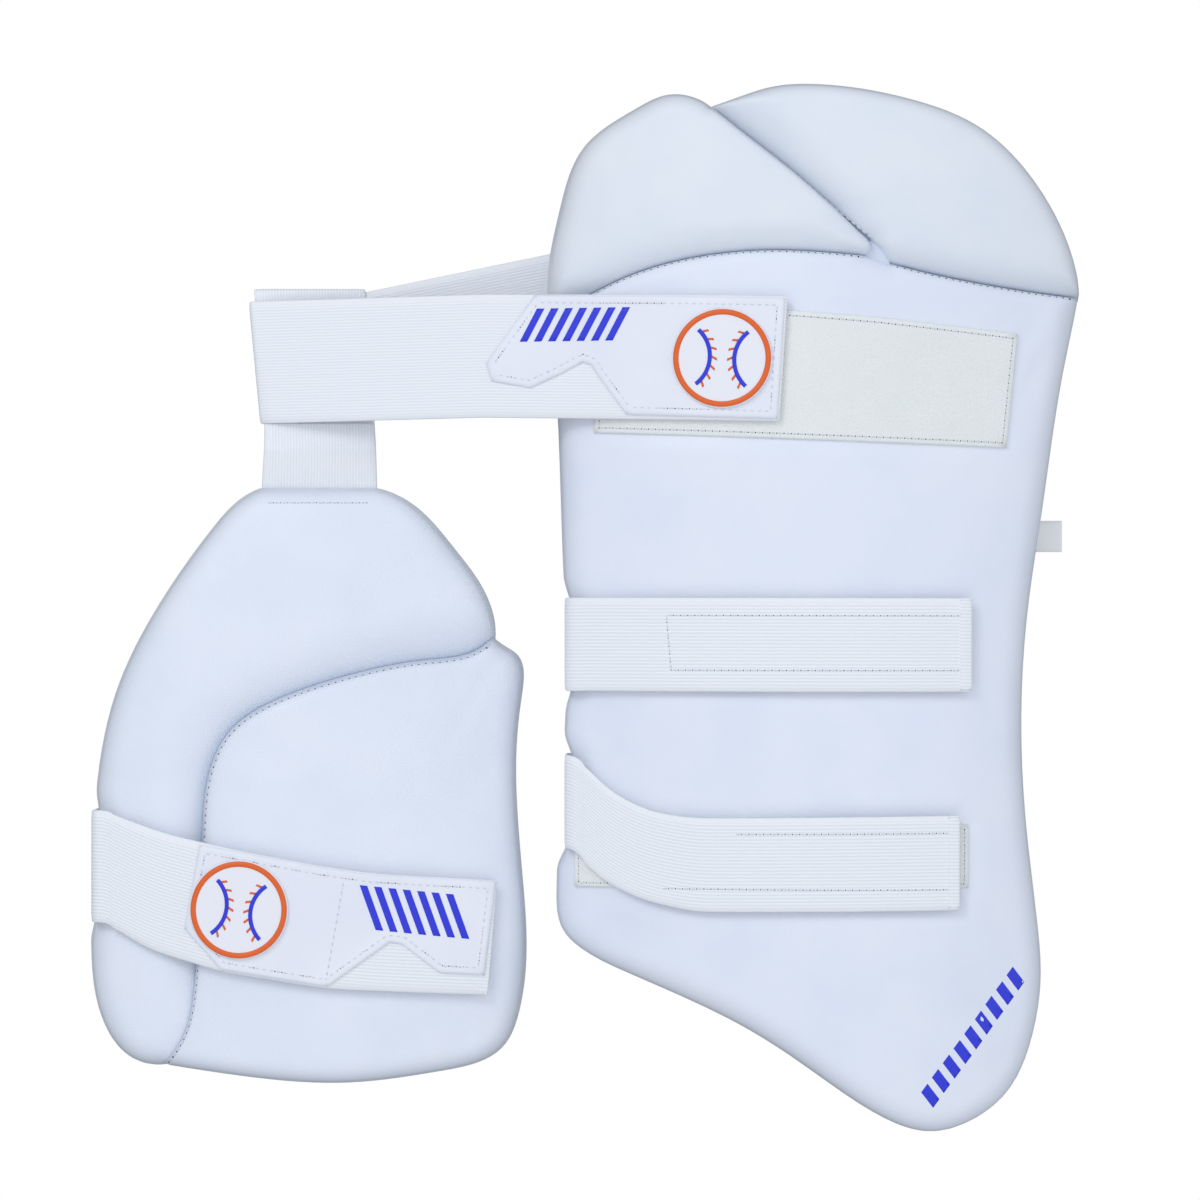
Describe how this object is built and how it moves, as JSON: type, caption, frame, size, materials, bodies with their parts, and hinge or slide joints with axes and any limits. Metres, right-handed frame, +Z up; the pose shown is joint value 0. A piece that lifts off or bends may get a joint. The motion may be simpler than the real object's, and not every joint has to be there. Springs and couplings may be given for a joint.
{
  "type": "thigh guard",
  "caption": "Batter's combination thigh guard: a large outer pad and a small inner pad, padded and arched to the thigh, on a folded elastic waist belt with stick-on thigh straps.",
  "frame": {"origin": "middle of the guard's plan box, on the surface that it lies on", "axes": "+X to the wearer's outer side with the guard lying face up, +Y towards the waist, +Z up through the padding"},
  "size_m": [0.4143, 0.432, 0.0648],
  "materials": {
    "pu_leather": "matte white PU leather",
    "lining_cloth": "brushed towelling-backed lining",
    "foam": "closed-cell foam",
    "shield_sheet": "moulded sheet",
    "elastic": "ribbed woven elastic",
    "loop_pile": "loop pile",
    "hook_tape": "moulded hooks",
    "tab_leather": "smooth white PU leather",
    "badge": "soft moulded badge",
    "label_cloth": "woven satin label"
  },
  "bodies": {
    "outer_pad": {"outer_main_cover": "pu_leather", "outer_main_foam": "foam", "outer_shield_sheet": "shield_sheet", "outer_lining": "lining_cloth", "hip_left_cover": "pu_leather", "hip_left_foam": "foam", "hip_right_cover": "pu_leather", "hip_right_foam": "foam", "waist_loop_panel": "loop_pile", "upper_loop_strip": "loop_pile", "lower_loop_strip": "loop_pile", "upper_strap_back": "elastic", "lower_strap_back": "elastic", "waist_belt_back": "elastic"},
    "belt_front": {"waist_belt_front": "elastic"},
    "waist_tab": {"waist_tab_web": "elastic", "waist_tab_overlay": "tab_leather", "waist_tab_hook": "hook_tape", "waist_badge": "badge"},
    "hanger": {"hanger_strap": "elastic"},
    "inner_pad": {"inner_main_cover": "pu_leather", "inner_main_foam": "foam", "inner_shield_sheet": "shield_sheet", "inner_bolster_cover": "pu_leather", "inner_bolster_foam": "foam", "inner_lining": "lining_cloth", "hanger_sewn_end": "elastic", "inner_loop_strip": "loop_pile", "inner_strap_back": "elastic"},
    "inner_strap": {"inner_strap_front": "elastic", "inner_strap_overlay": "tab_leather", "inner_strap_hook": "hook_tape", "inner_badge": "badge"},
    "upper_strap": {"upper_strap_front": "elastic", "upper_strap_hook": "hook_tape"},
    "lower_strap": {"lower_strap_front": "elastic", "lower_strap_hook": "hook_tape"},
    "care_label": {"care_label": "label_cloth"}
  },
  "joints": [
    {"name": "belt_unfold", "type": "hinge", "parent": "outer_pad", "child": "belt_front", "pos_m": [-0.1359, 0.10485, 0.0079], "axis": [0.0943, -0.9955, 0], "range_deg": [0, 140]},
    {"name": "waist_tab_peel", "type": "hinge", "parent": "belt_front", "child": "waist_tab", "pos_m": [-0.04185, 0.105, 0.03395], "axis": [0, -0.9999, -0.0122], "range_deg": [0, 110]},
    {"name": "hanger_slide", "type": "slide", "parent": "outer_pad", "child": "hanger", "axis": [0.978, 0.2086, 0], "range_m": [0, 0.012]},
    {"name": "inner_pad_swing", "type": "hinge", "parent": "hanger", "child": "inner_pad", "pos_m": [-0.1107, 0.052, 0.0179], "axis": [1, 0, 0], "range_deg": [-75, 45]},
    {"name": "inner_strap_peel", "type": "hinge", "parent": "inner_pad", "child": "inner_strap", "pos_m": [-0.19585, -0.107, 0.0338], "axis": [0, -1, 0], "range_deg": [0, 130]},
    {"name": "upper_strap_peel", "type": "hinge", "parent": "outer_pad", "child": "upper_strap", "pos_m": [0, -0.0137, 0.04229], "axis": [0, -0.9999, -0.0122], "range_deg": [0, 120]},
    {"name": "lower_strap_peel", "type": "hinge", "parent": "outer_pad", "child": "lower_strap", "pos_m": [0, -0.085, 0.04142], "axis": [0, -0.9999, -0.0122], "range_deg": [0, 120]},
    {"name": "care_label_flap", "type": "hinge", "parent": "outer_pad", "child": "care_label", "pos_m": [0.1904, 0.0315, 0.0105], "axis": [0, -1, 0], "range_deg": [-50, 50]}
  ]
}
